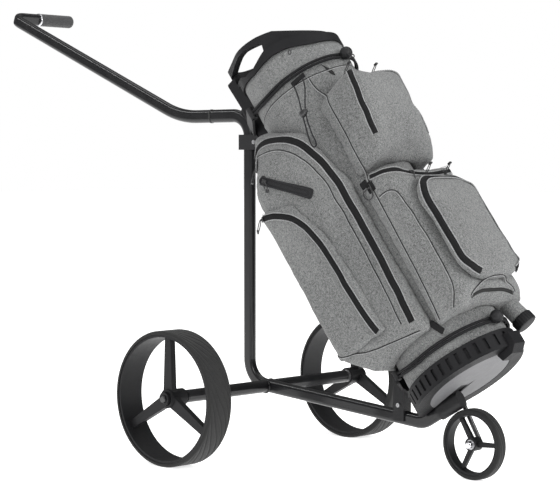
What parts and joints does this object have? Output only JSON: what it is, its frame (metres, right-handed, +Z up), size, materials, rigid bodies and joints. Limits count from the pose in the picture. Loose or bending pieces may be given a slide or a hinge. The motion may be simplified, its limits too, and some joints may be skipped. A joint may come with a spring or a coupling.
{
  "type": "golf bag on push cart",
  "caption": "cart bag with club dividers and zipped pockets strapped by elastic cords on a push cart with a bent tube frame and a plug-in handle",
  "frame": {"origin": "on the ground under the middle of the whole object's length and width", "axes": "+X forwards, the way the front wheel points and the bag's pockets face; +Y to the left; +Z up"},
  "size_m": [1.6055, 0.657, 1.0316],
  "materials": {
    "gloss_black_tube": "glossy black powder coat over aluminium tube",
    "axle_steel": "bright steel",
    "wheel_plastic": "satin black nylon with glass fibre",
    "tyre_rubber": "black solid rubber with fine tread lines",
    "button_plastic": "glossy black",
    "grip_foam": "soft dark rubber with fine cross ribs",
    "bright_metal": "polished zinc plate",
    "fabric_grey": "heather grey polyester weave",
    "fabric_dark": "black polyester weave",
    "webbing": "black nylon webbing",
    "top_plastic": "moulded charcoal plastic, fine grain",
    "base_plastic": "moulded black plastic, ribbed",
    "base_grey": "grey moulded plastic",
    "bracket_plastic": "moulded black nylon",
    "pad_rubber": "soft black rubber",
    "strap_elastic": "black braided elastic cord",
    "zip_metal": "black moulded zip slider",
    "d_ring_metal": "black lacquered steel",
    "cord_grey": "black round cord"
  },
  "bodies": {
    "cart": {"main_frame_tube": "gloss_black_tube", "rear_axle_tube": "gloss_black_tube", "axle_stubs": "axle_steel", "upper_bracket": "bracket_plastic", "lower_bracket": "bracket_plastic", "cradle_pads": "pad_rubber", "bracket_screws": "axle_steel", "bag_front_panel": "fabric_grey", "bag_spine_panel": "fabric_grey", "bag_left_panel": "fabric_grey", "bag_right_panel": "fabric_grey", "full_length_dividers": "fabric_dark", "top_ring": "top_plastic", "top_handle_rim": "top_plastic", "divider_ribs": "top_plastic", "spine_plate": "top_plastic", "base_moulding": "base_plastic", "base_underside_plate": "base_grey", "base_foot": "base_plastic", "right_apparel_pocket": "fabric_grey", "left_apparel_pocket": "fabric_grey", "right_lower_pocket": "fabric_grey", "left_lower_pocket": "fabric_grey", "front_upper_pocket": "fabric_grey", "front_lower_pocket": "fabric_grey", "front_panel_pocket": "fabric_grey", "right_chest_zip": "fabric_dark", "left_chest_zip": "fabric_dark", "webbing_tabs": "webbing", "umbrella_tube": "fabric_grey", "umbrella_tube_cap": "base_plastic", "towel_cord": "cord_grey", "cord_lock": "button_plastic", "upper_strap_cord": "strap_elastic", "lower_strap_cord": "strap_elastic", "strap_balls": "button_plastic"},
    "handle": {"handle_shaft": "gloss_black_tube", "handle_spigot": "axle_steel", "handle_grip": "grip_foam"},
    "left_wheel": {"left_rear_rim": "wheel_plastic", "left_rear_tyre": "tyre_rubber", "left_wheel_bearings": "axle_steel"},
    "left_button": {"left_hub_button": "button_plastic"},
    "right_wheel": {"right_rear_rim": "wheel_plastic", "right_rear_tyre": "tyre_rubber", "right_wheel_bearings": "axle_steel"},
    "right_button": {"right_hub_button": "button_plastic"},
    "front_unit": {"front_wheel_holder": "bracket_plastic", "front_fork_rod": "axle_steel", "front_axle_nut": "bright_metal"},
    "front_wheel": {"front_rim": "wheel_plastic", "front_tyre": "tyre_rubber", "front_bearings": "axle_steel"},
    "d_ring_body": {"d_ring": "d_ring_metal"},
    "left_chest_slider": {"left_chest_slider": "zip_metal"},
    "left_panel_zip_slider": {"left_panel_zip_slider": "zip_metal"},
    "left_upper_zip_slider": {"left_upper_zip_slider": "zip_metal"},
    "right_chest_slider": {"right_chest_slider": "zip_metal"},
    "right_panel_zip_slider": {"right_panel_zip_slider": "zip_metal"},
    "right_upper_zip_slider": {"right_upper_zip_slider": "zip_metal"}
  },
  "joints": [
    {"name": "handle_plug", "type": "slide", "parent": "cart", "child": "handle", "axis": [-1, 0, 0], "range_m": [0, 0.05]},
    {"name": "left_wheel_spin", "type": "hinge", "parent": "cart", "child": "left_wheel", "pos_m": [0.11325, 0, 0.145], "axis": [0, 1, 0], "continuous": true},
    {"name": "left_button_press", "type": "slide", "parent": "left_wheel", "child": "left_button", "axis": [0, -1, 0], "range_m": [0, 0.003], "stiffness_N_per_m": 500},
    {"name": "right_wheel_spin", "type": "hinge", "parent": "cart", "child": "right_wheel", "pos_m": [0.11325, 0, 0.145], "axis": [0, 1, 0], "continuous": true},
    {"name": "right_button_press", "type": "slide", "parent": "right_wheel", "child": "right_button", "axis": [0, 1, 0], "range_m": [0, 0.003], "stiffness_N_per_m": 500},
    {"name": "front_wheel_release", "type": "slide", "parent": "cart", "child": "front_unit", "axis": [0.866, 0, 0.5], "range_m": [0, 0.045]},
    {"name": "front_wheel_spin", "type": "hinge", "parent": "front_unit", "child": "front_wheel", "pos_m": [0.69025, 0, 0.073], "axis": [0, 1, 0], "continuous": true},
    {"name": "right_chest_zip_slide", "type": "slide", "parent": "cart", "child": "right_chest_slider", "axis": [0.973, 0.1091, -0.2035], "range_m": [0, 0.088]},
    {"name": "right_upper_zip_slide", "type": "hinge", "parent": "cart", "child": "right_upper_zip_slider", "pos_m": [0.41121, -0.044, 0.78949], "axis": [0.7986, 0, 0.6018], "range_deg": [0, 80]},
    {"name": "right_panel_zip_slide", "type": "hinge", "parent": "cart", "child": "right_panel_zip_slider", "pos_m": [0.62731, -0.032, 0.56918], "axis": [0.7986, 0, 0.6018], "range_deg": [0, 80]},
    {"name": "left_chest_zip_slide", "type": "slide", "parent": "cart", "child": "left_chest_slider", "axis": [0.973, -0.1091, -0.2035], "range_m": [0, 0.088]},
    {"name": "left_upper_zip_slide", "type": "hinge", "parent": "cart", "child": "left_upper_zip_slider", "pos_m": [0.41121, 0.044, 0.78949], "axis": [0.7986, 0, 0.6018], "range_deg": [-80, 0]},
    {"name": "left_panel_zip_slide", "type": "hinge", "parent": "cart", "child": "left_panel_zip_slider", "pos_m": [0.62731, 0.032, 0.56918], "axis": [0.7986, 0, 0.6018], "range_deg": [-80, 0]},
    {"name": "d_ring_swing", "type": "hinge", "parent": "cart", "child": "d_ring_body", "pos_m": [0.49082, -0.1077, 0.59079], "axis": [0.7986, 0, 0.6018], "range_deg": [-75, 0]}
  ]
}
